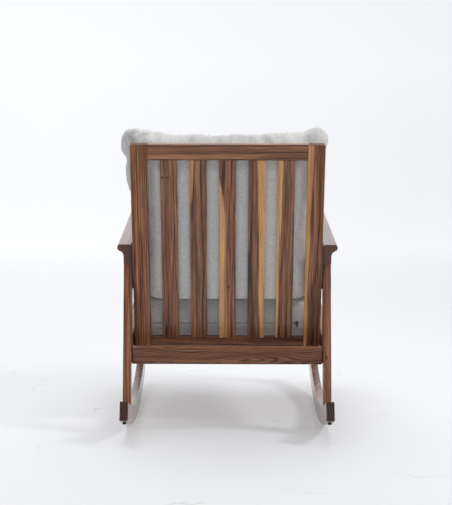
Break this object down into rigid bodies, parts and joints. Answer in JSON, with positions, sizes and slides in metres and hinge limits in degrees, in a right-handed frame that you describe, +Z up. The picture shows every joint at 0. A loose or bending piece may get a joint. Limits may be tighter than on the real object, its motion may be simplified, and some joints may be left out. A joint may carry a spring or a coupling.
{
  "type": "rocking chair",
  "caption": "Slatted wooden rocking chair on curved runners with loose seat and back cushions.",
  "frame": {"origin": "on the floor, under the middle of the chair's bounding box", "axes": "+Z up, -Y is the front that the sitter faces, +X is the sitter's left"},
  "size_m": [0.699, 0.8688, 0.9607],
  "materials": {
    "walnut": "oiled and satin lacquered walnut, straight to diagonal grain",
    "linen": "light grey linen weave",
    "rubber": "matte black rubber",
    "steel": "zinc-plated steel",
    "nylon": "black nylon",
    "zipper_tape": "woven grey zipper tape with a nylon coil",
    "zipper_metal": "dark plated zinc"
  },
  "bodies": {
    "frame": {"arm_left": "walnut", "arm_right": "walnut", "back_bolt_lower_left": "steel", "back_bolt_lower_right": "steel", "back_bolt_upper_left": "steel", "back_bolt_upper_right": "steel", "back_lower_rail": "walnut", "back_slat_1": "walnut", "back_slat_2": "walnut", "back_slat_3": "walnut", "back_slat_4": "walnut", "back_slat_5": "walnut", "back_spacer_lower_left": "nylon", "back_spacer_lower_right": "nylon", "back_spacer_upper_left": "nylon", "back_spacer_upper_right": "nylon", "back_stile_left": "walnut", "back_stile_right": "walnut", "back_top_rail": "walnut", "front_leg_left": "walnut", "front_leg_right": "walnut", "front_rail": "walnut", "front_rail_bolt_left": "steel", "front_rail_bolt_right": "steel", "rear_leg_left": "walnut", "rear_leg_right": "walnut", "rear_rail": "walnut", "rear_rail_bolt_left": "steel", "rear_rail_bolt_right": "steel", "runner_bumper_left": "rubber", "runner_bumper_right": "rubber", "runner_left": "walnut", "runner_right": "walnut", "seat_cleat_left": "walnut", "seat_cleat_right": "walnut", "seat_side_rail_left": "walnut", "seat_side_rail_right": "walnut", "seat_slat_1": "walnut", "seat_slat_2": "walnut", "seat_slat_3": "walnut", "seat_slat_4": "walnut", "seat_slat_5": "walnut", "slat_screw_1_left": "steel", "slat_screw_1_right": "steel", "slat_screw_2_left": "steel", "slat_screw_2_right": "steel", "slat_screw_3_left": "steel", "slat_screw_3_right": "steel", "slat_screw_4_left": "steel", "slat_screw_4_right": "steel", "slat_screw_5_left": "steel", "slat_screw_5_right": "steel"},
    "seat_cushion": {"seat_cushion": "linen", "seat_zipper": "zipper_tape"},
    "back_cushion": {"back_cushion": "linen"},
    "zipper_slider": {"zipper_slider": "zipper_metal"},
    "zipper_pull": {"zipper_pull": "zipper_metal"}
  },
  "joints": [
    {"name": "seat_cushion_lift_out", "type": "slide", "parent": "frame", "child": "seat_cushion", "axis": [0, -0.9903, 0.1392], "range_m": [0, 0.6]},
    {"name": "back_cushion_lift_out", "type": "slide", "parent": "frame", "child": "back_cushion", "axis": [0, 0.2258, 0.9742], "range_m": [0, 0.6]},
    {"name": "zipper_open", "type": "slide", "parent": "seat_cushion", "child": "zipper_slider", "axis": [1, 0, 0], "range_m": [0, 0.452]},
    {"name": "zipper_pull_swing", "type": "hinge", "parent": "zipper_slider", "child": "zipper_pull", "pos_m": [-0.226, 0.17287, 0.33875], "axis": [1, 0, 0], "range_deg": [0, 95]}
  ]
}
